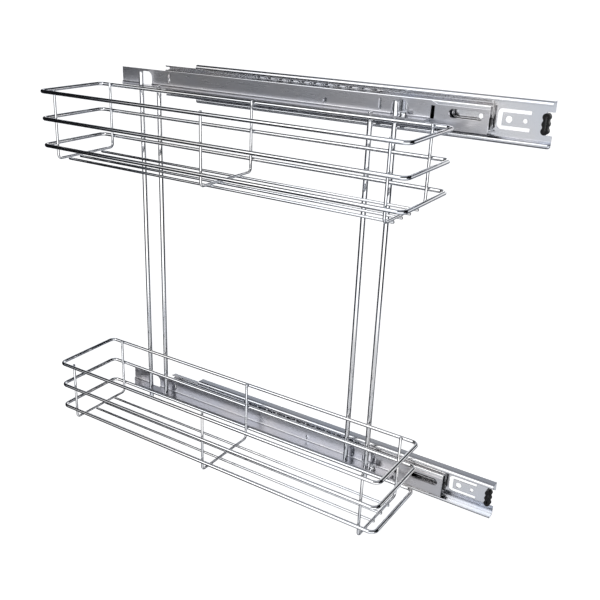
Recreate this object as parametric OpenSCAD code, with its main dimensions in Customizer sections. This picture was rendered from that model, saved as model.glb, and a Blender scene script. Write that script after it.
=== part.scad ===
// Two tier pull out wire basket for a narrow kitchen cabinet.
// X runs from the cabinet's side wall to the baskets, Y from front to rear and Z up.
// The origin lies on the wall, amid the four screw holes of the two runners.
// The runners are drawn slightly open, as far as the opened value says.

/* [Runners] */
// Length of an outer runner member
rail_length = 450; // [400:2:600]
// Height of a runner
rail_height = 47.5; // [46:0.5:52]
// Thickness of a runner, off the wall
rail_thickness = 12.7; // [12.7:0.1:14]
// Thickness of the runners' sheet
rail_sheet = 1.2; // [1:0.05:1.3]
// Outer bend radius of the runners' corners
rail_corner = 2; // [1.5:0.1:2.5]
// Height from one runner's centre line to the other's
runner_pitch = 450; // [400:5:600]
// How far the middle and inner members stand out in front of their closed place
opened = 51; // [20:1:80]
// Space between the outer and the middle web
web_gap = 1.2; // [1.1:0.05:1.5]

/* [Balls and cages] */
// Diameter of a bearing ball
ball_d = 4; // [3.6:0.1:4.2]
// Radial play of a ball in its races
ball_play = 0.15; // [0.1:0.01:0.2]
// Play of a ball in its cage
pocket_play = 0.15; // [0.1:0.01:0.25]
// Balls in one row
balls_in_row = 11; // [6:1:12]
// Distance between neighbouring balls
ball_pitch = 16; // [12:0.5:18]
// Thickness of the cages' sheet
cage_sheet = 0.6; // [0.5:0.05:0.6]
// Play of a cage against the webs beside it
cage_play = 0.3; // [0.2:0.02:0.3]
// Distance of the inner ball rows from the wall
inner_ball_x = 8; // [7.8:0.05:8.2]
// Width of the notches between the balls of an inner cage
cage_notch = 6; // [3:0.5:8]

/* [Wall screws] */
// Diameter of the wall screw holes
screw_hole_d = 4.6; // [4:0.1:5.2]
// Distance of the front screw hole from the outer member's front end
front_hole = 41; // [30:1:60]
// Distance of the rear screw hole from the outer member's rear end
rear_hole = 29; // [27:1:34]
// Diameter of the larger hole in the spring tongue
large_hole_d = 7; // [5:0.1:7.5]
// Diameter of the third hole
third_hole_d = 5.2; // [4:0.1:6.5]
// Distance of the larger hole in front of the rear screw hole
large_hole_gap = 17; // [14:1:20]
// Distance of the third hole in front of the rear screw hole
third_hole_gap = 47; // [42:1:60]
// Length of the spring tongue's cut arms
tongue_length = 35; // [30:1:38]
// Height between the cut arms' centre lines
tongue_height = 17.5; // [15:0.5:20]
// Width of the cut above and below the spring tongue
tongue_cut = 3.6; // [2:0.1:4.5]
// Width of the cut in front of the spring tongue
tongue_end_cut = 5; // [4.5:0.5:7]
// Length of the tool slots in the middle and inner members
tool_slot_length = 38; // [20:1:40]
// Width of the tool slots
tool_slot_width = 9.5; // [6:0.5:11]
// Distance of a tool slot's middle from its member's end
tool_slot_inset = 25; // [23:1:40]
// Height of the tool slots' middle above the centre line
tool_slot_rise = 1.5; // [0:0.5:2]

/* [Bumpers and stops] */
// Height of the rear bumper
bumper_height = 22; // [18:1:26]
// Diameter of the rear bumper's lobes
bumper_lobe_d = 7.8; // [7.4:0.2:9]
// Width of the bumper's waists between its lobes
bumper_waist = 5.6; // [4:0.2:7]
// How far the bumper stands off the wall
bumper_depth = 7; // [5:0.5:10]
// Width of the bumper's slit
bumper_slit = 1.6; // [0.5:0.1:2]
// Length of the bumper's slit
slit_length = 15; // [8:0.5:16]
// Distance of the bumper from the outer member's rear end
bumper_inset = 2.9; // [1:0.1:6]
// Space between the closed middle member's stop and the bumper
bumper_gap = 0.3; // [0.1:0.1:1]
// Play of the bumper in the web's notch
notch_margin = 0.7; // [0.1:0.1:1]
// Height of the plastic end stop
stop_height = 8; // [5:0.5:10]
// Length of the plastic end stop
stop_length = 7; // [5:0.5:12]
// How far the end stop stands out of the middle member
stop_reach = 1; // [0.5:0.1:2]
// Depth of the end stop off the middle web
stop_depth = 6; // [3:0.5:7]

/* [Brackets] */
// Length of a bracket's flange
bracket_length = 447; // [410:1:480]
// How far a bracket's middle lies in front of the baskets' middle
bracket_lead = 2.5; // [0:0.5:10]
// Thickness of the brackets' sheet
bracket_sheet = 1.5; // [1.2:0.1:2]
// Height of the bracket's upper edge above the runner's centre line
bracket_rise = 12.4; // [11:0.1:13.4]
// Depth of the bracket's lower face below the runner's centre line
bracket_drop = 8; // [7:0.5:10]
// Depth of the flange in front of the bracket's upright wall
flange_depth = 15; // [14:0.5:18]
// Length over which the flange's front corner is cut away
corner_cut = 14; // [5:1:30]
// Height of the bracket's tail above the runner's centre line
tail_rise = 9; // [8:0.5:11]
// Depth of the bracket's tail below the runner's centre line
tail_drop = 16; // [12:0.5:16.5]
// Length over which the bracket's upper edge slopes down to the tail
tail_slope = 7; // [3:0.5:12]
// Width of the upright slot where the tail starts
end_slot_width = 4.5; // [3:0.5:6]
// Height of the upright slot above the flange
end_slot_height = 14; // [8:0.5:14.5]
// Outer bend radius of a bracket
bracket_bend = 3.5; // [2.1:0.1:4]
// How far the baskets' middle lies in front of the inner members' middle
carriage_lead = 66.5; // [30:0.5:90]
// Width of the arched windows behind the outermost uprights
window_width = 20; // [14:1:22]
// Height of the windows above the flange
window_height = 16; // [10:0.5:16.5]
// Corner radius of the windows
window_corner = 7; // [3:0.5:7]
// Width of the narrow slots beside the inner uprights
slot_width = 4; // [2:0.5:5]
// Height of the narrow slots
slot_height = 13; // [8:0.5:14]
// Distance of the front narrow slot behind its inner upright
front_slot_gap = 10; // [6:0.5:20]
// Distance of the rear narrow slot behind its inner upright
rear_slot_gap = 6; // [6:0.5:12]
// Distance of the bracket's oblong hole in front of the rear inner upright
oblong_reach = 64.5; // [40:0.5:90]
// Width of the oblong hole
oblong_width = 5.5; // [3:0.5:6]
// Height of the oblong hole
oblong_height = 7; // [6.5:0.5:8]
// Depth of the oblong hole's middle below the runner's centre line
oblong_drop = 0.7; // [0:0.1:1]
// Diameter of the small hole in the flange
pilot_hole_d = 3; // [2:0.5:4]
// Distance of the small hole behind the front inner upright
pilot_gap = 11; // [8:0.5:20]

/* [Clamp screws] */
// Diameter of a clamp screw's head
clamp_head_d = 8.4; // [6:0.2:9]
// Height of a clamp screw's head, its dome included
clamp_head_height = 5; // [4:0.5:9]
// Diameter of a clamp screw's washer
clamp_washer_d = 10; // [9:0.5:11]
// Thickness of a clamp screw's washer
clamp_washer_height = 1; // [0.5:0.1:2]
// Diameter of a clamp screw's shank
clamp_shank_d = 4; // [3:0.5:5]
// Radial play of the shank in the flange
clamp_play = 0.2; // [0.1:0.05:0.5]
// How far the shank reaches below the flange
clamp_reach = 3; // [1:0.5:6]
// Distance of a clamp screw behind the rearmost upright
clamp_gap = 9.5; // [9:0.5:14]

/* [Uprights] */
// Diameter of an upright
upright_d = 6.2; // [5:0.1:8]
// Distance from the bracket's wall to the uprights' centre lines
upright_offset = 9.1; // [7:0.1:10]
// Distance between the two uprights of a pair
upright_spacing = 30; // [22:1:50]
// Distance of the outermost uprights from the bracket's ends, mean of front and rear
upright_inset = 39; // [30:0.5:60]
// How far the outer uprights stand above the upper flange
upright_rise = 16.5; // [2:0.5:30]
// How far the outer uprights reach below the lower flange
upright_drop = 16.5; // [2:0.5:20]
// How far the inner uprights stand out of both flanges
upright_tip = 1; // [0.5:0.5:4]
// How deep the rims of the flanges' holes bite into the uprights
upright_press = 0.05; // [0.01:0.01:0.1]
// Radius of the uprights' rounded ends
upright_round = 0.8; // [0.3:0.1:1.5]

/* [Baskets] */
// Length of a basket's rings, between wire centre lines
ring_length = 510; // [420:5:560]
// Width of a basket's rings, between wire centre lines
ring_width = 107; // [80:1:250]
// Bend radius of the rings' corners, on the wire's centre line
ring_corner = 8; // [6:0.5:20]
// Diameter of the ring wire
ring_wire = 4.8; // [4:0.1:5.6]
// Height from one ring to the next
ring_pitch = 34; // [25:1:50]
// Height from a flange's upper face down to the ring beside it
ring_below_flange = 4.5; // [4.5:0.5:8]
// Depth of the basket's floor below its lowest ring
floor_drop = 15; // [12:1:40]
// Diameter of the cross wires
cross_wire = 3.5; // [3:0.1:5]
// Bend radius of the cross wires, on the wire's centre line
cross_bend = 5; // [4:0.5:15]
// Distance of the outer cross wires from the rings' ends
cross_inset = 22; // [12:1:60]
// How far the cross wires stand above the top ring's centre line
cross_rise = 3; // [1:0.5:3]
// Diameter of the floor wires
floor_wire = 3.5; // [3:0.1:5]
// How far the floor wires reach past the outer cross wires
floor_overhang = 2; // [1:0.5:12]
// Number of floor wires
floor_wires = 4; // [2:1:8]
// Depth to which crossing wires melt into one another
weld_bite = 0.1; // [0.05:0.05:0.2]

/* [Hidden] */

$fn = 48;
cut = 1;
upper = runner_pitch / 2;
lower = -runner_pitch / 2;

// Places along the runners
outer_front = -(front_hole + rail_length - rear_hole) / 2;
outer_rear = outer_front + rail_length;
bumper_middle = outer_rear - bumper_inset - bumper_lobe_d / 2;
closed_rear = bumper_middle - bumper_lobe_d / 2 - bumper_gap - stop_reach;
member_length = closed_rear - outer_front;
members_front = outer_front - opened;
members_rear = members_front + member_length;
outer_cage_middle = outer_front + (member_length - opened) / 2;
inner_cage_middle = members_front + member_length / 2;
screw_front = outer_front + front_hole;
screw_rear = outer_rear - rear_hole;
third_hole = screw_rear - third_hole_gap;
tongue_rear = screw_rear + large_hole_gap / 3;
tongue_front = tongue_rear - tongue_length;

// Races, seen along a runner and measured from its centre line
ball_r = ball_d / 2;
race_r = ball_r + ball_play;
race_back = race_r + rail_sheet;
outer_ball_z = rail_height / 2 - race_back;
outer_ball_x = rail_thickness - race_back;
middle_top = outer_ball_z - race_r;
inner_ball_z = middle_top - race_back;
middle_web = rail_sheet + web_gap;
inner_face = rail_thickness - rail_sheet;
lip_reach = 25;
groove_reach = 35;
groove_tilt = 28;
inner_top = inner_ball_z - race_r * sin(groove_tilt);
inner_flange_x = inner_ball_x + race_r * cos(groove_tilt);
outer_cage_x = rail_sheet + cage_play;
inner_cage_x = middle_web + rail_sheet + cage_play;
outer_cage_reach = outer_ball_x + race_r - cage_play;
inner_cage_reach = inner_ball_x + ball_r + 1;

// Places on the carriage
carriage_middle = inner_cage_middle - carriage_lead;
bracket_front = carriage_middle - bracket_lead - bracket_length / 2;
bracket_rear = bracket_front + bracket_length;
end_slot = bracket_rear + end_slot_width / 2;
bracket_wall = rail_thickness + bracket_sheet;
flange_top = bracket_sheet - bracket_drop;
upright_x = bracket_wall + upright_offset;
outer_upright_reach = bracket_length / 2 - upright_inset;
inner_upright_reach = outer_upright_reach - upright_spacing;
front_slot = carriage_middle - inner_upright_reach + front_slot_gap;
rear_slot = carriage_middle + inner_upright_reach + rear_slot_gap;
oblong_middle = carriage_middle + inner_upright_reach - oblong_reach;
ring_back = upright_x + (upright_d + ring_wire) / 2 - weld_bite;
ring_front = ring_back + ring_width;
top_ring_of_upper = upper + flange_top - ring_below_flange;
top_ring_of_lower = lower + flange_top - ring_below_flange + 2 * ring_pitch;
leg_inset = (ring_wire + cross_wire) / 2 - weld_bite;
floor_z = -2 * ring_pitch - floor_drop;
cross_reach = ring_length / 2 - cross_inset;

// Extrude a profile, drawn with x off the wall and y upwards, from y0 along the runner
module along_runner(y0, length) {
    translate([0, y0 + length, 0])
        rotate([90, 0, 0])
            linear_extrude(length)
                children();
}

// Draw a profile and its mirror image below the centre line
module both_halves() {
    children();
    mirror([0, 1]) children();
}

// A bent strip of sheet: part of a ring from angle a0 to angle a1
module bent_strip(inside, outside, a0, a1) {
    far = 4 * outside;
    middle = (a0 + a1) / 2;
    intersection() {
        difference() {
            circle(outside);
            circle(inside);
        }
        polygon([
            [0, 0],
            far * [cos(a0), sin(a0)],
            far * [cos(middle), sin(middle)],
            far * [cos(a1), sin(a1)]
        ]);
    }
}

// A tool slot along the runner, cut through a web that starts at x
module tool_slot(x, y, thickness = rail_sheet) {
    reach = (tool_slot_length - tool_slot_width) / 2;
    for (side = [-1, 1])
        translate([x - cut, y + side * reach, tool_slot_rise])
            rotate([0, 90, 0])
                cylinder(d = tool_slot_width, h = thickness + 2 * cut);
    translate([x - cut, y - reach, tool_slot_rise - tool_slot_width / 2])
        cube([thickness + 2 * cut, 2 * reach, tool_slot_width]);
}

// A round hole through a web that starts at x
module web_hole(x, y, z, d) {
    translate([x - cut, y, z])
        rotate([0, 90, 0])
            cylinder(d = d, h = rail_sheet + 2 * cut);
}

module outer_profile() {
    both_halves() {
        square([rail_sheet, rail_height / 2 - rail_corner]);
        translate([rail_corner, rail_height / 2 - rail_corner])
            bent_strip(rail_corner - rail_sheet, rail_corner, 90, 180);
        translate([rail_corner, rail_height / 2 - rail_sheet])
            square([outer_ball_x - rail_corner, rail_sheet]);
        translate([outer_ball_x, outer_ball_z])
            bent_strip(race_r, race_back, -lip_reach, 90);
    }
}

module middle_profile() {
    both_halves() {
        translate([middle_web, 0])
            square([rail_sheet, middle_top - rail_corner]);
        translate([middle_web + rail_corner, middle_top - rail_corner])
            bent_strip(rail_corner - rail_sheet, rail_corner, 90, 180);
        translate([middle_web + rail_corner, middle_top - rail_sheet])
            square([outer_ball_x - middle_web - rail_corner, rail_sheet]);
        translate([outer_ball_x, outer_ball_z])
            bent_strip(race_r, race_back, 270, 360 - groove_reach);
    }
}

module inner_profile() {
    both_halves() {
        translate([inner_face, 0])
            square([rail_sheet, inner_top - rail_corner]);
        translate([rail_thickness - rail_corner, inner_top - rail_corner])
            bent_strip(rail_corner - rail_sheet, rail_corner, 0, 90);
        translate([inner_flange_x, inner_top - rail_sheet])
            square([rail_thickness - rail_corner - inner_flange_x, rail_sheet]);
        translate([inner_ball_x, inner_ball_z])
            bent_strip(race_r, race_back, 200, 360 - groove_tilt);
    }
}

// Sheet channel of a cage, whose flanges run through the balls' centres
module cage_profile(x, reach, ball_z) {
    both_halves() {
        translate([x, 0])
            square([cage_sheet, ball_z + cage_sheet / 2]);
        translate([x, ball_z - cage_sheet / 2])
            square([reach - x, cage_sheet]);
    }
}

module outer_rail(z) {
    color("lightsteelblue")
        translate([0, 0, z])
            difference() {
                along_runner(outer_front, rail_length) outer_profile();
                web_hole(0, screw_front, 0, screw_hole_d);
                web_hole(0, screw_rear, 0, screw_hole_d);
                web_hole(0, screw_rear - large_hole_gap, 0, large_hole_d);
                web_hole(0, third_hole, 0, third_hole_d);
                tongue_cut_out();
                bumper_notch();
            }
}

// The cut round the spring tongue: two arms joined at the front, with rounded outer corners
module tongue_cut_out() {
    half = (tongue_height + tongue_cut) / 2;
    corner = tongue_end_cut;
    deep = rail_sheet + 2 * cut;
    difference() {
        union() {
            translate([-cut, tongue_front, corner - half])
                cube([deep, tongue_length, 2 * (half - corner)]);
            translate([-cut, tongue_front + corner, -half])
                cube([deep, tongue_length - corner, 2 * half]);
            for (side = [-1, 1])
                translate([-cut, tongue_front + corner, side * (half - corner)])
                    rotate([0, 90, 0])
                        cylinder(r = corner, h = deep);
        }
        translate([-2 * cut, tongue_front + tongue_end_cut, tongue_cut - half])
            cube([deep + 2 * cut, tongue_length, 2 * (half - tongue_cut)]);
    }
}

// The notch in the web's rear end, in which the bumper is clipped
module bumper_notch() {
    height = bumper_height + 2 * notch_margin;
    translate([-cut, bumper_middle - notch_margin, -height / 2])
        cube([rail_sheet + 2 * cut, rail_length, height]);
}

// Three rubber lobes above one another, with a slit; their front halves stand on the web
module rear_bumper(z) {
    lobe_step = (bumper_height - bumper_lobe_d) / 2;
    color("dimgray")
        translate([0, bumper_middle, z])
            difference() {
                union() {
                    for (step = [-1:1])
                        translate([0, 0, step * lobe_step])
                            rotate([0, 90, 0])
                                cylinder(d = bumper_lobe_d, h = bumper_depth);
                    translate([0, -bumper_waist / 2, -lobe_step])
                        cube([bumper_depth, bumper_waist, 2 * lobe_step]);
                }
                translate([-cut, -bumper_lobe_d, -bumper_height])
                    cube([cut + rail_sheet, bumper_lobe_d, 2 * bumper_height]);
                translate([-cut, -bumper_slit / 2, -slit_length / 2])
                    cube([bumper_depth + 2 * cut, bumper_slit, slit_length]);
            }
}

module middle_rail(z) {
    color("silver")
        translate([0, 0, z])
            difference() {
                along_runner(members_front, member_length) middle_profile();
                for (y = [members_front + tool_slot_inset, members_rear - tool_slot_inset])
                    tool_slot(middle_web, y);
            }
}

// Plastic stop on the middle member's rear end, just below its centre line
module middle_end_stop(z) {
    color("black")
        translate([
            middle_web + rail_sheet,
            members_rear + stop_reach - stop_length,
            z - stop_height
        ])
            cube([stop_depth, stop_length, stop_height]);
}

module inner_rail(z) {
    color("gainsboro")
        translate([0, 0, z])
            difference() {
                along_runner(members_front, member_length) inner_profile();
                for (y = [members_front + tool_slot_inset, members_rear - tool_slot_inset])
                    tool_slot(inner_face, y);
                tail_slot();
            }
}

// Distance of ball number i from the row's middle
function ball_place(i) = (i - (balls_in_row - 1) / 2) * ball_pitch;

module ball_rows(x, middle, ball_z, z) {
    color("white")
        for (i = [0:balls_in_row - 1], side = [-1, 1])
            translate([x, middle + ball_place(i), z + side * ball_z])
                sphere(d = ball_d, $fn = 24);
}

module ball_cage(x, reach, ball_x, middle, ball_z, z) {
    length = balls_in_row * ball_pitch;
    color("goldenrod")
        translate([0, 0, z])
            difference() {
                along_runner(middle - length / 2, length) cage_profile(x, reach, ball_z);
                for (i = [0:balls_in_row - 1])
                    translate([ball_x, middle + ball_place(i), -rail_height])
                        cylinder(r = ball_r + pocket_play, h = 2 * rail_height);
            }
}

module inner_cage(z) {
    difference() {
        ball_cage(inner_cage_x, inner_cage_reach, inner_ball_x, inner_cage_middle, inner_ball_z, z);
        for (i = [1:balls_in_row - 1])
            translate([
                inner_ball_x,
                inner_cage_middle + ball_place(i) - ball_pitch / 2 - cage_notch / 2,
                z - rail_height
            ])
                cube([rail_thickness, cage_notch, 2 * rail_height]);
    }
}

// L shaped sheet: a wall on the inner member and a flange at its lower edge
module bracket_profile() {
    translate([rail_thickness, bracket_bend - bracket_drop])
        square([bracket_sheet, bracket_rise + bracket_drop - bracket_bend]);
    translate([rail_thickness + bracket_bend, bracket_bend - bracket_drop])
        bent_strip(bracket_bend - bracket_sheet, bracket_bend, 180, 270);
    translate([rail_thickness + bracket_bend, -bracket_drop])
        square([bracket_sheet + flange_depth - bracket_bend, bracket_sheet]);
}

// An arched window in the bracket's wall that reaches down through the bend
module bracket_window(y) {
    low = -bracket_drop - cut;
    straight = flange_top + window_height - window_corner - low;
    translate([rail_thickness - cut, y - window_width / 2, low])
        cube([bracket_bend + cut, window_width, straight]);
    translate([rail_thickness - cut, y - window_width / 2 + window_corner, low])
        cube([bracket_bend + cut, window_width - 2 * window_corner, straight + window_corner]);
    for (side = [-1, 1])
        translate([
            rail_thickness - cut,
            y + side * (window_width / 2 - window_corner),
            low + straight
        ])
            rotate([0, 90, 0])
                cylinder(r = window_corner, h = bracket_sheet + 2 * cut);
}

// An upright slot with round ends through the bracket's wall
module bracket_slot(y, z, width, height) {
    for (side = [-1, 1])
        translate([rail_thickness - cut, y, z + side * (height - width) / 2])
            rotate([0, 90, 0])
                cylinder(d = width, h = bracket_sheet + 2 * cut);
    translate([rail_thickness - cut, y - width / 2, z - (height - width) / 2])
        cube([bracket_sheet + 2 * cut, width, height - width]);
}

module flange_hole(y, r) {
    translate([upright_x, y, -bracket_drop - cut])
        cylinder(r = r, h = bracket_sheet + 2 * cut);
}

// The slanted cut that takes the flange's front corner away
module flange_corner_cut() {
    near = rail_thickness + bracket_bend;
    far = bracket_wall + flange_depth + cut;
    translate([0, 0, -bracket_drop - cut])
        linear_extrude(bracket_sheet + 2 * cut)
            polygon([
                [near, bracket_front - cut],
                [far, bracket_front - cut],
                [far, bracket_front + corner_cut],
                [near, bracket_front]
            ]);
}

// The tail: the bracket's wall goes on behind the flange, as far as the inner member does
module bracket_tail() {
    translate([rail_thickness, 0, 0])
        rotate([90, 0, 90])
            linear_extrude(bracket_sheet)
                polygon([
                    [bracket_rear, -tail_drop],
                    [members_rear, -tail_drop],
                    [members_rear, tail_rise],
                    [bracket_rear + tail_slope, tail_rise],
                    [bracket_rear, bracket_rise]
                ]);
}

// The upright slot at the flange's rear end, through the bracket and the inner member
module tail_slot() {
    translate([inner_face - cut, end_slot - end_slot_width / 2, flange_top])
        cube([rail_sheet + bracket_sheet + 2 * cut, end_slot_width, end_slot_height]);
}

module bracket(z) {
    wall_middle = (bracket_rise + flange_top) / 2;
    upright_hole_r = upright_d / 2 - upright_press;
    clamp_hole_r = clamp_shank_d / 2 + clamp_play;
    color("slategray")
        translate([0, 0, z])
            difference() {
                union() {
                    along_runner(bracket_front, bracket_length) bracket_profile();
                    bracket_tail();
                }
                for (side = [-1, 1]) {
                    bracket_window(carriage_middle + side * outer_upright_reach);
                    flange_hole(carriage_middle + side * outer_upright_reach, upright_hole_r);
                    flange_hole(carriage_middle + side * inner_upright_reach, upright_hole_r);
                }
                bracket_slot(front_slot, wall_middle, slot_width, slot_height);
                bracket_slot(rear_slot, wall_middle, slot_width, slot_height);
                bracket_slot(oblong_middle, -oblong_drop, oblong_width, oblong_height);
                flange_hole(carriage_middle + outer_upright_reach + clamp_gap, clamp_hole_r);
                flange_hole(carriage_middle - inner_upright_reach + pilot_gap, pilot_hole_d / 2);
                flange_corner_cut();
                tail_slot();
                tool_slot(rail_thickness, members_rear - tool_slot_inset, bracket_sheet);
            }
}

// Domed screw that stands on the flange behind the rearmost upright
module clamp_screw(z) {
    dome = clamp_head_d / 4;
    dome_r = (pow(clamp_head_d / 2, 2) + pow(dome, 2)) / (2 * dome);
    straight = clamp_head_height - dome;
    color("whitesmoke")
        translate([
            upright_x,
            carriage_middle + outer_upright_reach + clamp_gap,
            z + flange_top
        ]) {
            cylinder(d = clamp_washer_d, h = clamp_washer_height);
            translate([0, 0, clamp_washer_height])
                cylinder(d = clamp_head_d, h = straight);
            translate([0, 0, clamp_washer_height + straight])
                intersection() {
                    translate([0, 0, dome - dome_r]) sphere(r = dome_r);
                    cylinder(d = clamp_head_d, h = dome);
                }
            translate([0, 0, -bracket_sheet - clamp_reach])
                cylinder(d = clamp_shank_d, h = bracket_sheet + clamp_reach);
        }
}

// Round bar with rounded rims, from z0 to z1
module upright_bar(y, z0, z1) {
    color("lightgray")
        translate([upright_x, carriage_middle + y, z0])
            rotate_extrude() {
                square([upright_d / 2 - upright_round, z1 - z0]);
                translate([0, upright_round])
                    square([upright_d / 2, z1 - z0 - 2 * upright_round]);
                for (end = [upright_round, z1 - z0 - upright_round])
                    translate([upright_d / 2 - upright_round, end])
                        circle(upright_round);
            }
}

module outer_upright(side) {
    upright_bar(
        side * outer_upright_reach,
        lower - bracket_drop - upright_drop,
        upper + flange_top + upright_rise
    );
}

module inner_upright(side) {
    upright_bar(
        side * inner_upright_reach,
        lower - bracket_drop - upright_tip,
        upper + flange_top + upright_tip
    );
}

// A quarter bend of round wire about z, from the x axis to the y axis
module quarter_bend(bend, wire) {
    rotate_extrude(angle = 90)
        translate([bend, 0])
            circle(d = wire);
}

module wire_ring(z) {
    straight_y = ring_length - 2 * ring_corner;
    straight_x = ring_width - 2 * ring_corner;
    color("ghostwhite")
        translate([ring_back + ring_width / 2, carriage_middle, z]) {
            for (side = [-1, 1]) {
                translate([side * ring_width / 2, -straight_y / 2, 0])
                    rotate([-90, 0, 0])
                        cylinder(d = ring_wire, h = straight_y);
                translate([-straight_x / 2, side * ring_length / 2, 0])
                    rotate([0, 90, 0])
                        cylinder(d = ring_wire, h = straight_x);
            }
            for (turn = [0:3])
                translate([
                    (turn == 0 || turn == 3 ? 1 : -1) * straight_x / 2,
                    (turn < 2 ? 1 : -1) * straight_y / 2,
                    0
                ])
                    rotate([0, 0, 90 * turn])
                        quarter_bend(ring_corner, ring_wire);
        }
}

// One cross wire: two legs and a flat bottom, joined by bends
module cross_bar(y, top_ring) {
    width = ring_width - 2 * leg_inset;
    straight = width - 2 * cross_bend;
    leg = cross_rise - floor_z - cross_bend;
    translate([ring_back + ring_width / 2, y, top_ring + floor_z]) {
        translate([-straight / 2, 0, 0])
            rotate([0, 90, 0])
                cylinder(d = cross_wire, h = straight);
        for (side = [-1, 1]) {
            translate([side * width / 2, 0, cross_bend])
                cylinder(d = cross_wire, h = leg);
            translate([side * straight / 2, 0, cross_bend])
                rotate([side > 0 ? -90 : 90, side > 0 ? 0 : 180, 0])
                    quarter_bend(cross_bend, cross_wire);
        }
    }
}

module cross_wires(top_ring) {
    color("aliceblue")
        for (step = [-1:1])
            cross_bar(carriage_middle + step * cross_reach, top_ring);
}

module floor_grid(top_ring) {
    step = (ring_width - 2 * leg_inset) / (floor_wires + 1);
    color("lavender")
        for (i = [1:floor_wires])
            translate([
                ring_back + leg_inset + i * step,
                carriage_middle - cross_reach - floor_overhang,
                top_ring + floor_z - (cross_wire + floor_wire) / 2 + weld_bite
            ])
                rotate([-90, 0, 0])
                    cylinder(d = floor_wire, h = 2 * (cross_reach + floor_overhang));
}

outer_rail(upper);  // upper_outer_rail
outer_rail(lower);  // lower_outer_rail
rear_bumper(upper);  // upper_rear_bumper
rear_bumper(lower);  // lower_rear_bumper
ball_cage(outer_cage_x, outer_cage_reach, outer_ball_x, outer_cage_middle, outer_ball_z, upper);  // upper_outer_cage
ball_cage(outer_cage_x, outer_cage_reach, outer_ball_x, outer_cage_middle, outer_ball_z, lower);  // lower_outer_cage
ball_rows(outer_ball_x, outer_cage_middle, outer_ball_z, upper);  // upper_outer_balls
ball_rows(outer_ball_x, outer_cage_middle, outer_ball_z, lower);  // lower_outer_balls
middle_rail(upper);  // upper_middle_rail
middle_rail(lower);  // lower_middle_rail
middle_end_stop(upper);  // upper_middle_end_stop
middle_end_stop(lower);  // lower_middle_end_stop
inner_cage(upper);  // upper_inner_cage
inner_cage(lower);  // lower_inner_cage
ball_rows(inner_ball_x, inner_cage_middle, inner_ball_z, upper);  // upper_inner_balls
ball_rows(inner_ball_x, inner_cage_middle, inner_ball_z, lower);  // lower_inner_balls
inner_rail(upper);  // upper_inner_rail
inner_rail(lower);  // lower_inner_rail
bracket(upper);  // upper_bracket
bracket(lower);  // lower_bracket
clamp_screw(upper);  // upper_clamp_screw
clamp_screw(lower);  // lower_clamp_screw
outer_upright(-1);  // front_outer_upright
inner_upright(-1);  // front_inner_upright
inner_upright(1);  // rear_inner_upright
outer_upright(1);  // rear_outer_upright
wire_ring(top_ring_of_upper);  // upper_basket_top_ring
wire_ring(top_ring_of_upper - ring_pitch);  // upper_basket_middle_ring
wire_ring(top_ring_of_upper - 2 * ring_pitch);  // upper_basket_bottom_ring
cross_wires(top_ring_of_upper);  // upper_basket_cross_wires
floor_grid(top_ring_of_upper);  // upper_basket_floor_wires
wire_ring(top_ring_of_lower);  // lower_basket_top_ring
wire_ring(top_ring_of_lower - ring_pitch);  // lower_basket_middle_ring
wire_ring(top_ring_of_lower - 2 * ring_pitch);  // lower_basket_bottom_ring
cross_wires(top_ring_of_lower);  // lower_basket_cross_wires
floor_grid(top_ring_of_lower);  // lower_basket_floor_wires
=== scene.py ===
"""Dresses a two tier pull out wire basket for a narrow kitchen cabinet.

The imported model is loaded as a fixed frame. This script gives every node its finish, models the
pieces that show more than the plain solids do, and sets up the studio.
"""

import math

import bpy
from mathutils import Matrix, Vector


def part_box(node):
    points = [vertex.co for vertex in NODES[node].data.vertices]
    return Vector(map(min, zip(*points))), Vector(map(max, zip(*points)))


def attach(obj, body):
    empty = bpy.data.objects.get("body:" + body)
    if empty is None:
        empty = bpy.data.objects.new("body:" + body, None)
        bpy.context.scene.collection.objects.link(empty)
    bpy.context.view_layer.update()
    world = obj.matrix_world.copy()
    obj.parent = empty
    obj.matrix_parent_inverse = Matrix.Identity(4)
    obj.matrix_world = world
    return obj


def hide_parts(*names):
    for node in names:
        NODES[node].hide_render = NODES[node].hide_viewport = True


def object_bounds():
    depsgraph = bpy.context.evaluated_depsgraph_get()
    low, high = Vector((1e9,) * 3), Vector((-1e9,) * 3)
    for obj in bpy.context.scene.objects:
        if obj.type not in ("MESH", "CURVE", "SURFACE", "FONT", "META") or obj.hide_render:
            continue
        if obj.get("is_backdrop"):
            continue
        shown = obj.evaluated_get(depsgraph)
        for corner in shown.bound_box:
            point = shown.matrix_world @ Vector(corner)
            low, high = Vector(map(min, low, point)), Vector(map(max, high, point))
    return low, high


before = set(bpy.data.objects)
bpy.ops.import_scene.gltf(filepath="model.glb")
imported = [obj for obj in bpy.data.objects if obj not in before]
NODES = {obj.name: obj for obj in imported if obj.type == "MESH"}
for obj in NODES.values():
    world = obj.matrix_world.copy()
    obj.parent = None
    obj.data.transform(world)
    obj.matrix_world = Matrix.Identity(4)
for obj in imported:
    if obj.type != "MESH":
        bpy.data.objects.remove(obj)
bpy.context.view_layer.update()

bl_info = {
    "name": "Pull out wire basket",
    "version": (1, 0, 0),
    "blender": (4, 5, 0),
    "location": "3D View > Sidebar > Basket",
    "description": "Finishes a two tier pull out wire basket and sets up its studio",
    "category": "Object",
}

TIERS = ("upper", "lower")
RINGS = ("top_ring", "middle_ring", "bottom_ring")
UPRIGHTS = (
    "front_outer_upright",
    "front_inner_upright",
    "rear_inner_upright",
    "rear_outer_upright",
)
FLOOR_WIRES = 4
CROSS_WIRES = 3

# Modelling, lengths in metres
SAME_PLACE = 0.000002
FLAT_ANGLE = math.radians(0.5)
SHARP_ANGLE = math.radians(35)
SMOOTH_ANGLE = math.radians(40)
RIM_ANGLE = math.radians(60)
SHEET_STEPS = 2
MOULDED_STEPS = 3
RIM_STEPS = 4
WELD_SIDES = 14
WELD_SHOULDER = 0.3

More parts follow.
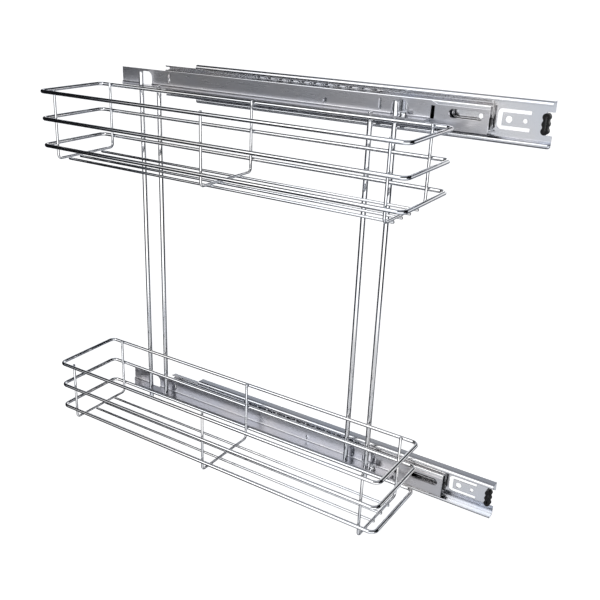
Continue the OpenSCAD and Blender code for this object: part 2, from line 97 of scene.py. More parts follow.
# A finish's colour varies in clouds, from cool and dark to warm and light
COOL_TONE = (0.98, 1.0, 1.03)
WARM_TONE = (1.03, 1.0, 0.96)
CLOUD_LOW, CLOUD_HIGH = 0.3, 0.7
METAL_CLOUD_SCALE = 12
MOULDED_CLOUD_SCALE = 60
MOULDED_DARK, MOULDED_LIGHT = 0.75, 1.3
MOULDED_SMOOTHER, MOULDED_ROUGHER = 0.08, 0.1
METAL_BUMP = 0.06
MOULDED_BUMP = 0.35
MOULDED_GRAIN_DEPTH = 0.00003
MOULDED_SHEEN = 0.25

# Colour, its shade, roughness and its spread, grain's stretch, grain's depth, share of cloud
METALS = {
    "runner_zinc": ("zinc", 1.0, 0.16, 0.025, (900, 14, 900), 0.000003, 0.03),
    "bracket_zinc": ("bracket", 1.0, 0.28, 0.025, (700, 30, 700), 0.000003, 0.03),
    "wire_chrome": ("chrome", 1.0, 0.07, 0.03, (60, 60, 60), 0.000004, 0.03),
    "screw_chrome": ("chrome", 1.0, 0.12, 0.04, (300, 300, 30), 0.00001, 0.05),
    "ball_chrome": ("zinc", 1.05, 0.06, 0.02, (200, 200, 200), 0.000004, 0.06),
    "cage_zinc": ("zinc", 0.95, 0.28, 0.08, (600, 20, 600), 0.00002, 0.06),
}
# Shade of the rubber's colour, roughness, grain's scale
MOULDED = {
    "bumper_rubber": (1.0, 0.32, 900),
    "stop_plastic": (1.5, 0.42, 1500),
}

# Degrees: middle azimuth, half width, lowest and highest elevation, soft edge. Then strength.
SOFT_BOXES = (
    (34, 30, -22, 8, 10, 1.6),  # Cores of the uprights
    (-20, 14, 4, 30, 6, 1.9),  # Cores of the long wires, middle and rear
    (-28, 17, 5, 30, 4, 1.1),  # Cores of the long wires towards the front
    (-26, 16, 28, 56, 8, 1.9),  # Upper halves of the long wires
    (-165, 26, 1, 15, 10, 1.3),  # Upper flange
    (-150, 24, 24, 40, 8, 0.36),  # Lower flange
    (150, 16, -6, 14, 5, 0.9),  # Ends of the rings
    (40, 66, -90, -27, 8, 0.72),  # Lower walls
    (-12, 34, -24, 0, 4, 0.045),  # Upper walls, dim
    (-7, 14, -24, 0, 4, 0.8),  # Rear end of the upper runner
    (-150, 37, -60, -8, 6, 0.38),  # Wall side, seen from behind
    (148, 28, -60, -8, 6, 0.1),  # Wall side, seen from the front
    (-34, 180, 62, 90, 5, 0.45),  # Overhead
)
DARK_ROOM = 0.008
DIM_TINT = (0.91, 0.98, 1.12)
WHITE = (1, 1, 1)

FLOOR_SIZE = 400
FLOOR_DROP = 0.35
FLOOR_ROUGHNESS = 0.9
FLOOR_GLOW = 0.8

# The photograph's camera: pixels for its picture, focal length and optical centre
PICTURE = 600
FOCAL_LENGTH = 822.807
OPTICAL_CENTRE = (261.009, 315.545)
SENSOR = 36
FARTHEST = 1000
CAMERA_PLACE = Vector((0.858527, 0.448084, 0.362826))
CAMERA_RIGHT = Vector((-0.56667127, 0.8236321, 0.02266811))
CAMERA_UP = Vector((-0.30831833, -0.23748005, 0.92116396))
CAMERA_FORWARD = Vector((-0.76408342, -0.51500815, -0.38851399))


class BasketSizes(bpy.types.PropertyGroup):
    """Sizes of the details that this script models."""

    wire_sides: bpy.props.IntProperty(
        name="Wire sides", description="Sides of a round wire", default=24, min=8, max=48
    )
    bend_steps: bpy.props.IntProperty(
        name="Bend steps", description="Steps of a wire's quarter bend", default=10, min=3, max=32
    )
    ring_bend: bpy.props.FloatProperty(
        name="Ring bend",
        description="Radius of a ring's corners at the wire's middle",
        default=0.008,
        unit="LENGTH",
    )
    cross_bend: bpy.props.FloatProperty(
        name="Cross wire bend",
        description="Radius of a cross wire's bends at the wire's middle",
        default=0.005,
        unit="LENGTH",
    )
    wire_end_round: bpy.props.FloatProperty(
        name="Wire end rounding",
        description="Radius of a wire's tumbled end",
        default=0.0007,
        unit="LENGTH",
    )
    upright_end_round: bpy.props.FloatProperty(
        name="Upright end rounding",
        description="Radius of an upright's end",
        default=0.0011,
        unit="LENGTH",
    )
    weld_waist: bpy.props.FloatProperty(
        name="Weld waist",
        description="Radius of a weld where it is thinnest",
        default=0.0012,
        unit="LENGTH",
    )
    weld_flare: bpy.props.FloatProperty(
        name="Weld flare",
        description="Radius of a weld where it runs out on the wires",
        default=0.0021,
        unit="LENGTH",
    )
    weld_length: bpy.props.FloatProperty(
        name="Weld length",
        description="Length of a weld across the touching wires",
        default=0.0022,
        unit="LENGTH",
    )
    bracket_edge: bpy.props.FloatProperty(
        name="Bracket edge",
        description="Radius of the brackets' tumbled edges",
        default=0.0005,
        unit="LENGTH",
    )
    sheet_edge: bpy.props.FloatProperty(
        name="Sheet edge",
        description="Radius of the stamped sheets' edges",
        default=0.0002,
        unit="LENGTH",
    )
    rubber_round: bpy.props.FloatProperty(
        name="Rubber rounding",
        description="Radius of the rubber bumpers' edges",
        default=0.0007,
        unit="LENGTH",
    )


class BasketColours(bpy.types.PropertyGroup):
    """Colours of the object's finishes."""

    chrome: bpy.props.FloatVectorProperty(
        name="Chrome",
        description="Colour of the plated wires",
        subtype="COLOR",
        default=(0.86, 0.87, 0.89),
    )
    zinc: bpy.props.FloatVectorProperty(
        name="Zinc",
        description="Colour of the plated runners",
        subtype="COLOR",
        default=(0.74, 0.75, 0.78),
    )
    bracket: bpy.props.FloatVectorProperty(
        name="Bracket",
        description="Colour of the brackets",
        subtype="COLOR",
        default=(0.62, 0.62, 0.65),
    )
    rubber: bpy.props.FloatVectorProperty(
        name="Rubber",
        description="Colour of the rubber bumpers",
        subtype="COLOR",
        default=(0.007, 0.007, 0.008),
    )
    floor: bpy.props.FloatVectorProperty(
        name="Floor",
        description="Colour of the studio floor",
        subtype="COLOR",
        default=(0.9, 0.9, 0.9),
    )


def new_material(name):
    """A new node material, its node tree and its Principled shader."""
    material = bpy.data.materials.new(name)
    material.use_nodes = True
    tree = material.node_tree
    shader = tree.nodes["Principled BSDF"]
    return material, tree, shader


def place_nodes(tree, stretch=(1, 1, 1)):
    """Object coordinates, stretched along the axes."""
    coordinates = tree.nodes.new("ShaderNodeTexCoord")
    mapping = tree.nodes.new("ShaderNodeMapping")
    mapping.inputs["Scale"].default_value = stretch
    tree.links.new(coordinates.outputs["Object"], mapping.inputs["Vector"])
    return mapping.outputs["Vector"]


def noise_node(tree, vector, scale, detail, roughness):
    """A noise pattern's value."""
    noise = tree.nodes.new("ShaderNodeTexNoise")
    noise.inputs["Scale"].default_value = scale
    noise.inputs["Detail"].default_value = detail
    noise.inputs["Roughness"].default_value = roughness
    tree.links.new(vector, noise.inputs["Vector"])
    return noise.outputs["Fac"]


def ramp_node(tree, value, stops):
    """A colour ramp with the given (place, colour) stops."""
    ramp = tree.nodes.new("ShaderNodeValToRGB")
    elements = ramp.color_ramp.elements
    while len(elements) < len(stops):
        elements.new(0.5)
    for element, (place, colour) in zip(elements, stops):
        element.position = place
        element.color = (*colour, 1)
    tree.links.new(value, ramp.inputs["Fac"])
    return ramp.outputs["Color"]


def range_node(tree, value, low, high):
    """The value, 0 to 1, spread between low and high."""
    spread = tree.nodes.new("ShaderNodeMapRange")
    spread.inputs["To Min"].default_value = low
    spread.inputs["To Max"].default_value = high
    tree.links.new(value, spread.inputs["Value"])
    return spread.outputs["Result"]


def bump_node(tree, shader, height, strength, distance):
    """Bumps the shader's surface by a height pattern."""
    bump = tree.nodes.new("ShaderNodeBump")
    bump.inputs["Strength"].default_value = strength
    bump.inputs["Distance"].default_value = distance
    tree.links.new(height, bump.inputs["Height"])
    tree.links.new(bump.outputs["Normal"], shader.inputs["Normal"])


def shade(colour, factor):
    """The colour, made lighter or darker."""
    return tuple(min(1.0, part * factor) for part in colour)


def toned(colour, tone):
    """The colour, tinted by a tone."""
    return tuple(part * share for part, share in zip(colour, tone))


def cloudy_tint(tree, shader, place, scale, dark, light, detail):
    """Colours the shader in clouds of a dark and a light tone."""
    clouds = noise_node(tree, place, scale, detail, roughness=0.5)
    tint = ramp_node(tree, clouds, [(CLOUD_LOW, dark), (CLOUD_HIGH, light)])
    tree.links.new(tint, shader.inputs["Base Color"])


def metal(name, colour, roughness, spread, grain_stretch, grain_depth, cloud):
    """A plated metal with cloudy colour, uneven gloss and fine grain."""
    material, tree, shader = new_material(name)
    shader.inputs["Metallic"].default_value = 1.0
    cool = toned(shade(colour, 1 - cloud), COOL_TONE)
    warm = toned(shade(colour, 1 + cloud), WARM_TONE)
    cloudy_tint(tree, shader, place_nodes(tree), METAL_CLOUD_SCALE, cool, warm, detail=3)
    place = place_nodes(tree, grain_stretch)
    grain = noise_node(tree, place, scale=1.0, detail=3, roughness=0.5)
    gloss = range_node(tree, grain, roughness - spread, roughness + spread)
    tree.links.new(gloss, shader.inputs["Roughness"])
    bump_node(tree, shader, grain, METAL_BUMP, grain_depth)
    return material


def moulded(name, colour, roughness, grain_scale):
    """A matt moulded finish with a fine grain."""
    material, tree, shader = new_material(name)
    shader.inputs["Specular IOR Level"].default_value = MOULDED_SHEEN
    place = place_nodes(tree)
    dark, light = shade(colour, MOULDED_DARK), shade(colour, MOULDED_LIGHT)
    cloudy_tint(tree, shader, place, MOULDED_CLOUD_SCALE, dark, light, detail=4)
    grain = noise_node(tree, place, grain_scale, detail=6, roughness=0.6)
    gloss = range_node(tree, grain, roughness - MOULDED_SMOOTHER, roughness + MOULDED_ROUGHER)
    tree.links.new(gloss, shader.inputs["Roughness"])
    bump_node(tree, shader, grain, MOULDED_BUMP, MOULDED_GRAIN_DEPTH)
    return material


def finish(name):
    """The named finish, made on first use."""
    if name in bpy.data.materials:
        return bpy.data.materials[name]
    colours = bpy.context.scene.basket_colours
    if name in METALS:
        colour, factor, *look = METALS[name]
        return metal(name, shade(getattr(colours, colour), factor), *look)
    factor, *look = MOULDED[name]
    return moulded(name, shade(colours.rubber, factor), *look)


def wear(nodes, material):
    """Gives CAD nodes a finish."""
    for name in nodes:
        mesh = NODES[name].data
        mesh.materials.clear()
        mesh.materials.append(material)


def math_node(tree, operation, *values):
    """A Math node whose inputs are sockets or numbers."""
    node = tree.nodes.new("ShaderNodeMath")
    node.operation = operation
    for socket, value in zip(node.inputs, values):
        if isinstance(value, (int, float)):
            socket.default_value = value
        else:
            tree.links.new(value, socket)
    return node.outputs["Value"]


def soft_step(tree, value, low, high):
    """Rises smoothly from 0 at low to 1 at high."""
    step = tree.nodes.new("ShaderNodeMapRange")
    step.interpolation_type = "SMOOTHSTEP"
    step.inputs["From Min"].default_value = low
    step.inputs["From Max"].default_value = high
    tree.links.new(value, step.inputs["Value"])
    return step.outputs["Result"]


def colour_mix(tree, blend, factor, first, second):
    """A colour mixer whose inputs are sockets, numbers or colours."""
    node = tree.nodes.new("ShaderNodeMixRGB")
    node.blend_type = blend
    for socket, value in zip(node.inputs, (factor, first, second)):
        if isinstance(value, bpy.types.NodeSocket):
            tree.links.new(value, socket)
        elif isinstance(value, tuple):
            socket.default_value = (*value, 1)
        else:
            socket.default_value = value
    return node.outputs["Color"]


def soft_box(tree, azimuth, elevation, degrees, strength):
    """The light of one soft box at the given direction."""
    middle, half, low, high, edge = (math.radians(angle) for angle in degrees)
    off = math_node(tree, "SUBTRACT", azimuth, middle)
    turn = math_node(tree, "WRAP", off, math.pi, -math.pi)
    away = math_node(tree, "ABSOLUTE", turn)
    lit = math_node(tree, "MULTIPLY", soft_step(tree, away, half + edge, half), strength)
    lit = math_node(tree, "MULTIPLY", lit, soft_step(tree, elevation, low - edge, low))
    return math_node(tree, "MULTIPLY", lit, soft_step(tree, elevation, high + edge, high))


def studio_world(scene):
    """A dark room with soft boxes round the object, and a white backdrop for the camera."""
    world = bpy.data.worlds.new("studio_light")
    scene.world = world
    world.use_nodes = True
    tree = world.node_tree
    background = tree.nodes["Background"]
    coordinates = tree.nodes.new("ShaderNodeTexCoord")
    split = tree.nodes.new("ShaderNodeSeparateXYZ")
    tree.links.new(coordinates.outputs["Generated"], split.inputs[0])
    azimuth = math_node(tree, "ARCTAN2", split.outputs["Y"], split.outputs["X"])
    elevation = math_node(tree, "ARCSINE", split.outputs["Z"])
    brightest = 0.0
    for *degrees, strength in SOFT_BOXES:
        lit = soft_box(tree, azimuth, elevation, degrees, strength)
        brightest = math_node(tree, "MAXIMUM", brightest, lit)
    room = math_node(tree, "ADD", brightest, DARK_ROOM)
    sight = tree.nodes.new("ShaderNodeLightPath")
    tint = colour_mix(tree, "MIX", room, DIM_TINT, WHITE)
    light = colour_mix(tree, "MULTIPLY", 1, tint, room)
    backdrop = colour_mix(tree, "MIX", sight.outputs["Is Camera Ray"], light, WHITE)
    tree.links.new(backdrop, background.inputs["Color"])
    background.inputs["Strength"].default_value = 1.0


def photo_camera(scene):
    """The camera that the photograph was solved for."""
    camera = bpy.data.cameras.new("photo_camera")
    camera.sensor_width = SENSOR
    camera.lens = FOCAL_LENGTH * SENSOR / PICTURE
    camera.shift_x = (PICTURE / 2 - OPTICAL_CENTRE[0]) / PICTURE
    camera.shift_y = (OPTICAL_CENTRE[1] - PICTURE / 2) / PICTURE
    camera.clip_end = FARTHEST
    camera_object = bpy.data.objects.new("photo_camera", camera)
    scene.collection.objects.link(camera_object)
    axes = Matrix((CAMERA_RIGHT, CAMERA_UP, -CAMERA_FORWARD))
    turn = axes.transposed().to_4x4()
    camera_object.matrix_world = Matrix.Translation(CAMERA_PLACE) @ turn
    scene.camera = camera_object


def deselect_all():
    """Leaves edit mode with nothing selected."""
    if bpy.context.mode != "OBJECT":
        bpy.ops.object.mode_set(mode="OBJECT")
    bpy.ops.object.select_all(action="DESELECT")


def pick(piece):
    """Selects one piece alone and makes it active."""
    deselect_all()
    piece.select_set(True)
    bpy.context.view_layer.objects.active = piece


def edit_all(select_mode="VERT"):
    """Goes to edit mode with everything selected."""
    bpy.ops.object.mode_set(mode="EDIT")
    bpy.ops.mesh.select_mode(type=select_mode)
    bpy.ops.mesh.select_all(action="SELECT")


def start_wire(name, radius, place, heading):
    """An open circle round place, ready to be drawn out along heading."""
    deselect_all()
    bpy.ops.mesh.primitive_circle_add(
        vertices=bpy.context.scene.basket_sizes.wire_sides,
        radius=radius,
        location=place,
        rotation=Vector(heading).to_track_quat("Z", "Y").to_euler(),
    )
    bpy.ops.object.transform_apply(location=True, rotation=True, scale=True)
    wire = bpy.context.object
    wire.name = name
    edit_all()
    return wire


def draw_straight(by):
    """Draws the wire's open end straight on."""
    bpy.ops.mesh.extrude_region_move(TRANSFORM_OT_translate={"value": by})


def draw_round(centre, axis):
    """Draws the open end round a quarter bend, clockwise as seen from the axis's tip."""
    steps = bpy.context.scene.basket_sizes.bend_steps
    bpy.ops.mesh.spin(steps=steps, angle=math.pi / 2, center=centre, axis=axis)


def round_rims(radius):
    """Closes the wire's open ends and rounds their rims."""
    bpy.ops.mesh.select_all(action="SELECT")
    bpy.ops.mesh.fill_holes(sides=0)
    bpy.ops.mesh.select_mode(type="EDGE")
    bpy.ops.mesh.select_all(action="DESELECT")
    bpy.ops.mesh.edges_select_sharp(sharpness=RIM_ANGLE)
    bpy.ops.mesh.bevel(offset=radius, segments=RIM_STEPS, profile=0.5, affect="EDGES")
    bpy.ops.mesh.select_mode(type="VERT")


def close_mesh():
    """Merges doubles, points the faces outwards and shades them smoothly."""
    bpy.ops.mesh.select_all(action="SELECT")
    bpy.ops.mesh.remove_doubles(threshold=SAME_PLACE)
    bpy.ops.mesh.normals_make_consistent(inside=False)
    bpy.ops.object.mode_set(mode="OBJECT")
    bpy.ops.object.shade_smooth_by_angle(angle=SMOOTH_ANGLE)


def copy_piece(piece, name, by):
    """A copy with its own mesh, moved within its mesh."""
    twin = piece.copy()
    twin.data = piece.data.copy()
    twin.name = name
    bpy.context.collection.objects.link(twin)
    twin.data.transform(Matrix.Translation(by))
    return twin


def join_pieces(pieces, name):
    """One piece of several."""
    deselect_all()
    for piece in pieces:
        piece.select_set(True)
    bpy.context.view_layer.objects.active = pieces[0]
    bpy.ops.object.join()
    pieces[0].name = name
    return pieces[0]


def dress(piece, body, slot, material, *nodes):
    """Hangs a piece on its body, gives it its finish and hides the nodes that it stands for."""
    if not piece.data.polygons:
        raise RuntimeError(f"{piece.name} has no faces")
    piece.data.materials.clear()
    piece.data.materials.append(material)
    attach(piece, body)
    if nodes:
        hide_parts(*nodes)


def rounded_copy(node, name, radius, steps=SHEET_STEPS):
    """A free copy of a CAD node whose sharp edges are rounded."""
    piece = NODES[node].copy()
    piece.data = NODES[node].data.copy()
    piece.name = name
    piece.parent = None
    for key in list(piece.keys()):
        del piece[key]
    bpy.context.collection.objects.link(piece)
    pick(piece)
    edit_all()
    bpy.ops.mesh.remove_doubles(threshold=SAME_PLACE)
    bpy.ops.mesh.dissolve_limited(angle_limit=FLAT_ANGLE)
    bpy.ops.object.mode_set(mode="OBJECT")
    bevel = piece.modifiers.new("edges", "BEVEL")
    bevel.width = radius
    bevel.segments = steps
    bevel.limit_method = "ANGLE"
    bevel.angle_limit = SHARP_ANGLE
    bevel.harden_normals = True
    bpy.ops.object.shade_smooth_by_angle(angle=SHARP_ANGLE)
    bpy.ops.object.modifier_apply(modifier=bevel.name)
    return piece


def stamped_sheets(kind, body, slot, finish_name, edge):
    """Rounds the edges of a sheet piece on both tiers; body takes the tier's name."""
    for tier in TIERS:
        node = f"{tier}_{kind}"
        piece = rounded_copy(node, f"{node}_sheet", edge)
        dress(piece, body.format(tier=tier), slot, finish(finish_name), node)


def tier_nodes(kind):
    """Both tiers' nodes of a kind: the set by the outer rail and the set by the inner rail."""
    return [f"{tier}_{place}_{kind}" for tier in TIERS for place in ("outer", "inner")]


def cross_radius(tier):
    """The cross wires' radius, which is the floor wires' too."""
    low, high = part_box(f"{tier}_basket_floor_wires")
    return (high[2] - low[2]) / 2


def wire_middles(low, high, thick, count):
    """Middles of like wires, evenly spaced from edge to edge."""
    step = (high - low - thick) / (count - 1)
    return [low + thick / 2 + k * step for k in range(count)]


def weld_spool():
    """A weld along z at the origin: a collar drawn in at its middle, as squeezed metal sets."""
    sizes = bpy.context.scene.basket_sizes
    flare, waist, length = sizes.weld_flare, sizes.weld_waist, sizes.weld_length
    shoulder = waist + (flare - waist) * WELD_SHOULDER
    deselect_all()
    bpy.ops.mesh.primitive_circle_add(
        vertices=WELD_SIDES, radius=flare, location=(0, 0, -length / 2)
    )
    bpy.ops.object.transform_apply(location=True, rotation=True, scale=True)
    spool = bpy.context.object
    edit_all()
    last = flare
    for level, radius in enumerate((shoulder, waist, shoulder, flare), 1):
        draw_straight((0, 0, length / 4))
        grow = radius / last
        z = -length / 2 + level * length / 4
        bpy.ops.transform.resize(value=(grow, grow, 1), center_override=(0, 0, z))
        last = radius
    close_mesh()
    return spool


def weld_places(tier):
    """Places and directions of a basket's welds, from the boxes of the wires that cross."""
    rings = [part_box(f"{tier}_basket_{kind}") for kind in RINGS]
    cross_low, cross_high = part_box(f"{tier}_basket_cross_wires")
    floor_low, floor_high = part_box(f"{tier}_basket_floor_wires")
    ring_thick = rings[0][1][2] - rings[0][0][2]
    thin = 2 * cross_radius(tier)
    legs = wire_middles(cross_low[1], cross_high[1], thin, CROSS_WIRES)
    floors = wire_middles(floor_low[0], floor_high[0], thin, FLOOR_WIRES)
    along_x, along_z = Vector((1, 0, 0)), Vector((0, 0, 1))
    for low, high in rings:
        z = (low[2] + high[2]) / 2
        for node in UPRIGHTS:
            rod_low, rod_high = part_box(node)
            yield Vector((low[0], (rod_low[1] + rod_high[1]) / 2, z)), along_x
        for y in legs:
            yield Vector((low[0] + ring_thick, y, z)), along_x
            yield Vector((high[0] - ring_thick, y, z)), along_x
    for y in legs:
        for x in floors:
            yield Vector((x, y, cross_low[2])), along_z


class BASKET_OT_outer_rails(bpy.types.Operator):
    """Stamp the outer rails that are screwed to the cabinet"""

    bl_idname = "basket.outer_rails"
    bl_label = "Outer rails"

    def execute(self, context):
        edge = context.scene.basket_sizes.sheet_edge
        stamped_sheets("outer_rail", "frame", "runner_steel", "runner_zinc", edge)
        return {"FINISHED"}


class BASKET_OT_middle_rails(bpy.types.Operator):
    """Stamp the middle rails"""

    bl_idname = "basket.middle_rails"
    bl_label = "Middle rails"

    def execute(self, context):
        edge = context.scene.basket_sizes.sheet_edge
        stamped_sheets("middle_rail", "{tier}_middle", "runner_steel", "runner_zinc", edge)
        return {"FINISHED"}


class BASKET_OT_inner_rails(bpy.types.Operator):
    """Stamp the inner rails that carry the brackets"""

    bl_idname = "basket.inner_rails"
    bl_label = "Inner rails"

    def execute(self, context):
        edge = context.scene.basket_sizes.sheet_edge
        stamped_sheets("inner_rail", "carriage", "runner_steel", "runner_zinc", edge)
        return {"FINISHED"}


class BASKET_OT_brackets(bpy.types.Operator):
    """Bend the brackets from plated sheet"""

    bl_idname = "basket.brackets"
    bl_label = "Brackets"

    def execute(self, context):
        edge = context.scene.basket_sizes.bracket_edge
        stamped_sheets("bracket", "carriage", "bracket_steel", "bracket_zinc", edge)
        return {"FINISHED"}


class BASKET_OT_cages(bpy.types.Operator):
    """Stamp the ball cages"""

    bl_idname = "basket.cages"
    bl_label = "Ball cages"

    def execute(self, context):
        wear(tier_nodes("cage"), finish("cage_zinc"))
        return {"FINISHED"}


class BASKET_OT_balls(bpy.types.Operator):
    """Polish the balls"""

    bl_idname = "basket.balls"
    bl_label = "Balls"

    def execute(self, context):
        wear(tier_nodes("balls"), finish("ball_chrome"))
        return {"FINISHED"}


class BASKET_OT_bumpers(bpy.types.Operator):
    """Mould the rubber bumpers at the runners' rear ends"""

    bl_idname = "basket.bumpers"
    bl_label = "Rear bumpers"

    def execute(self, context):
        radius = context.scene.basket_sizes.rubber_round
        for tier in TIERS:
            node = f"{tier}_rear_bumper"
            piece = rounded_copy(node, f"{node}_rubber", radius, MOULDED_STEPS)
            dress(piece, "frame", "black_rubber", finish("bumper_rubber"), node)
        return {"FINISHED"}


class BASKET_OT_end_stops(bpy.types.Operator):
    """Mould the plastic stops at the middle rails' rear ends"""

    bl_idname = "basket.end_stops"
    bl_label = "End stops"

    def execute(self, context):
        radius = context.scene.basket_sizes.rubber_round
        for tier in TIERS:
            node = f"{tier}_middle_end_stop"
            piece = rounded_copy(node, f"{node}_block", radius, MOULDED_STEPS)
            dress(piece, f"{tier}_middle", "black_plastic", finish("stop_plastic"), node)
        return {"FINISHED"}


class BASKET_OT_clamp_screws(bpy.types.Operator):
    """Turn the screws that stand on the brackets"""

    bl_idname = "basket.clamp_screws"
    bl_label = "Clamp screws"

    def execute(self, context):
        radius = context.scene.basket_sizes.sheet_edge
        for tier in TIERS:
            node = f"{tier}_clamp_screw"
            piece = rounded_copy(node, f"{node}_turned", radius)
            dress(piece, "carriage", "screw_steel", finish("screw_chrome"), node)
        return {"FINISHED"}


class BASKET_OT_rings(bpy.types.Operator):
    """Bend the baskets' six rings from round wire"""

    bl_idname = "basket.rings"
    bl_label = "Rings"

    def execute(self, context):
        bend = context.scene.basket_sizes.ring_bend
        first = f"{TIERS[0]}_basket_{RINGS[0]}"
        low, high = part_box(first)
        radius = (high[2] - low[2]) / 2
        back, front = low[0] + radius, high[0] - radius
        near, far = low[1] + radius, high[1] - radius
        z = low[2] + radius
        across, half = front - back - 2 * bend, (far - near) / 2 - bend
        ring = start_wire("ring", radius, (back, (near + far) / 2, z), (0, 1, 0))
        draw_straight((0, half, 0))
        draw_round((back + bend, far - bend, z), (0, 0, 1))
        draw_straight((across, 0, 0))
        draw_round((front - bend, far - bend, z), (0, 0, 1))
        draw_straight((0, -2 * half, 0))
        draw_round((front - bend, near + bend, z), (0, 0, 1))
        draw_straight((-across, 0, 0))
        draw_round((back + bend, near + bend, z), (0, 0, 1))
        draw_straight((0, half, 0))
        close_mesh()
        for tier in TIERS:
            for kind in RINGS:
                node = f"{tier}_basket_{kind}"
                by = Vector(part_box(node)[0]) - Vector(low)
                piece = copy_piece(ring, f"{node}_wire", by)
                dress(piece, "carriage", "chrome_wire", finish("wire_chrome"), node)
        bpy.data.objects.remove(ring)
        return {"FINISHED"}


class BASKET_OT_cross_wires(bpy.types.Operator):
    """Bend the cross wires that hang in the rings"""

    bl_idname = "basket.cross_wires"
    bl_label = "Cross wires"

    def execute(self, context):
        sizes = context.scene.basket_sizes
        bend = sizes.cross_bend
        for tier in TIERS:
            node = f"{tier}_basket_cross_wires"
            low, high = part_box(node)
            radius = cross_radius(tier)
            back, front = low[0] + radius, high[0] - radius
            bottom, top, y = low[2] + radius, high[2], low[1] + radius
            wire = start_wire("cross", radius, (back, y, top), (0, 0, -1))
            draw_straight((0, 0, bottom + bend - top))
            draw_round((back + bend, y, bottom + bend), (0, 1, 0))
            draw_straight((front - back - 2 * bend, 0, 0))
            draw_round((front - bend, y, bottom + bend), (0, 1, 0))
            draw_straight((0, 0, top - bottom - bend))
            round_rims(sizes.wire_end_round)
            close_mesh()
            step = (high[1] - low[1] - 2 * radius) / (CROSS_WIRES - 1)
            wires = [wire]
            for k in range(1, CROSS_WIRES):
                wires.append(copy_piece(wire, "cross", (0, k * step, 0)))
            piece = join_pieces(wires, f"{node}_bent")
            dress(piece, "carriage", "chrome_wire", finish("wire_chrome"), node)
        return {"FINISHED"}


class BASKET_OT_floor_wires(bpy.types.Operator):
    """Cut the straight wires of the baskets' floors"""

    bl_idname = "basket.floor_wires"
    bl_label = "Floor wires"

    def execute(self, context):
        sizes = context.scene.basket_sizes
        for tier in TIERS:
            node = f"{tier}_basket_floor_wires"
            low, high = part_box(node)
            radius = (high[2] - low[2]) / 2
            start = (low[0] + radius, low[1], low[2] + radius)
            wire = start_wire("floor", radius, start, (0, 1, 0))
            draw_straight((0, high[1] - low[1], 0))
            round_rims(sizes.wire_end_round)
            close_mesh()
            step = (high[0] - low[0] - 2 * radius) / (FLOOR_WIRES - 1)
            wires = [wire]
            for k in range(1, FLOOR_WIRES):
                wires.append(copy_piece(wire, "floor", (k * step, 0, 0)))
            piece = join_pieces(wires, f"{node}_cut")
            dress(piece, "carriage", "chrome_wire", finish("wire_chrome"), node)
        return {"FINISHED"}


class BASKET_OT_uprights(bpy.types.Operator):
    """Cut the four uprights and round their ends"""

    bl_idname = "basket.uprights"
    bl_label = "Uprights"

    def execute(self, context):
        sizes = context.scene.basket_sizes
        for node in UPRIGHTS:
            low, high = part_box(node)
            radius = (high[0] - low[0]) / 2
            start = ((low[0] + high[0]) / 2, (low[1] + high[1]) / 2, low[2])
            rod = start_wire(f"{node}_rod", radius, start, (0, 0, 1))
            draw_straight((0, 0, high[2] - low[2]))
            round_rims(sizes.upright_end_round)
            close_mesh()
            dress(rod, "carriage", "chrome_wire", finish("wire_chrome"), node)
        return {"FINISHED"}


class BASKET_OT_welds(bpy.types.Operator):
    """Weld the wires where they cross"""

    bl_idname = "basket.welds"
    bl_label = "Welds"

    def execute(self, context):
        spool = weld_spool()
        for tier in TIERS:
            welds = []
            for place, heading in weld_places(tier):
                weld = copy_piece(spool, "weld", (0, 0, 0))
                turn = heading.to_track_quat("Z", "Y").to_matrix().to_4x4()
                weld.data.transform(Matrix.Translation(place) @ turn)
                welds.append(weld)
            piece = join_pieces(welds, f"{tier}_basket_welds")
            dress(piece, "carriage", "chrome_wire", finish("wire_chrome"))
        bpy.data.objects.remove(spool)
        return {"FINISHED"}


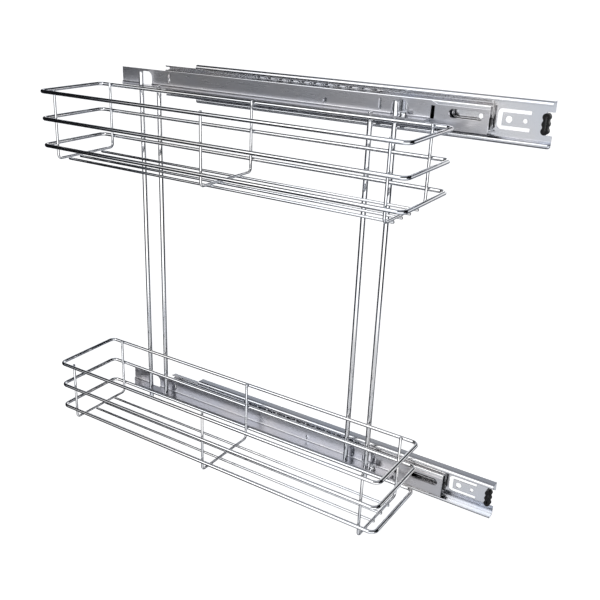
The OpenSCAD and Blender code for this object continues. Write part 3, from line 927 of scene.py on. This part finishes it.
class BASKET_OT_studio(bpy.types.Operator):
    """Make the floor, the lights and the camera"""

    bl_idname = "basket.studio"
    bl_label = "Studio"

    def execute(self, context):
        scene = context.scene
        low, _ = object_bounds()
        deselect_all()
        bpy.ops.mesh.primitive_plane_add(size=FLOOR_SIZE, location=(0, 0, low[2] - FLOOR_DROP))
        floor = context.object
        floor.name = "studio_floor"
        floor.visible_glossy = False
        floor.visible_diffuse = False
        material, _, shader = new_material("floor_paper")
        shader.inputs["Base Color"].default_value = (*scene.basket_colours.floor, 1)
        shader.inputs["Roughness"].default_value = FLOOR_ROUGHNESS
        shader.inputs["Emission Color"].default_value = (*WHITE, 1)
        shader.inputs["Emission Strength"].default_value = FLOOR_GLOW
        floor.data.materials.append(material)
        floor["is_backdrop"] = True
        studio_world(scene)
        photo_camera(scene)
        return {"FINISHED"}


class BASKET_PT_panel(bpy.types.Panel):
    """The basket's sizes, colours and pieces"""

    bl_label = "Pull out basket"
    bl_idname = "BASKET_PT_panel"
    bl_space_type = "VIEW_3D"
    bl_region_type = "UI"
    bl_category = "Basket"

    def draw(self, context):
        column = self.layout.column(align=True)
        for group in (context.scene.basket_sizes, context.scene.basket_colours):
            for name in group.__annotations__:
                column.prop(group, name)
        for operator in STEPS:
            column.operator(operator.bl_idname)


STEPS = (
    BASKET_OT_outer_rails,
    BASKET_OT_middle_rails,
    BASKET_OT_inner_rails,
    BASKET_OT_brackets,
    BASKET_OT_cages,
    BASKET_OT_balls,
    BASKET_OT_bumpers,
    BASKET_OT_end_stops,
    BASKET_OT_clamp_screws,
    BASKET_OT_rings,
    BASKET_OT_cross_wires,
    BASKET_OT_floor_wires,
    BASKET_OT_uprights,
    BASKET_OT_welds,
    BASKET_OT_studio,
)
CLASSES = (BasketSizes, BasketColours, *STEPS, BASKET_PT_panel)


def register():
    """Adds the sizes, the colours, the operators and the panel."""
    for cls in CLASSES:
        bpy.utils.register_class(cls)
    bpy.types.Scene.basket_sizes = bpy.props.PointerProperty(type=BasketSizes)
    bpy.types.Scene.basket_colours = bpy.props.PointerProperty(type=BasketColours)


def unregister():
    """Takes them out again."""
    del bpy.types.Scene.basket_colours
    del bpy.types.Scene.basket_sizes
    for cls in reversed(CLASSES):
        bpy.utils.unregister_class(cls)


def main():
    """Runs every step."""
    register()
    for step in STEPS:
        group, name = step.bl_idname.split(".")
        if getattr(getattr(bpy.ops, group), name)() != {"FINISHED"}:
            raise RuntimeError(f"{step.bl_label} did not finish")
    bpy.context.scene.view_settings.view_transform = "Standard"


if __name__ == "__main__":
    main()
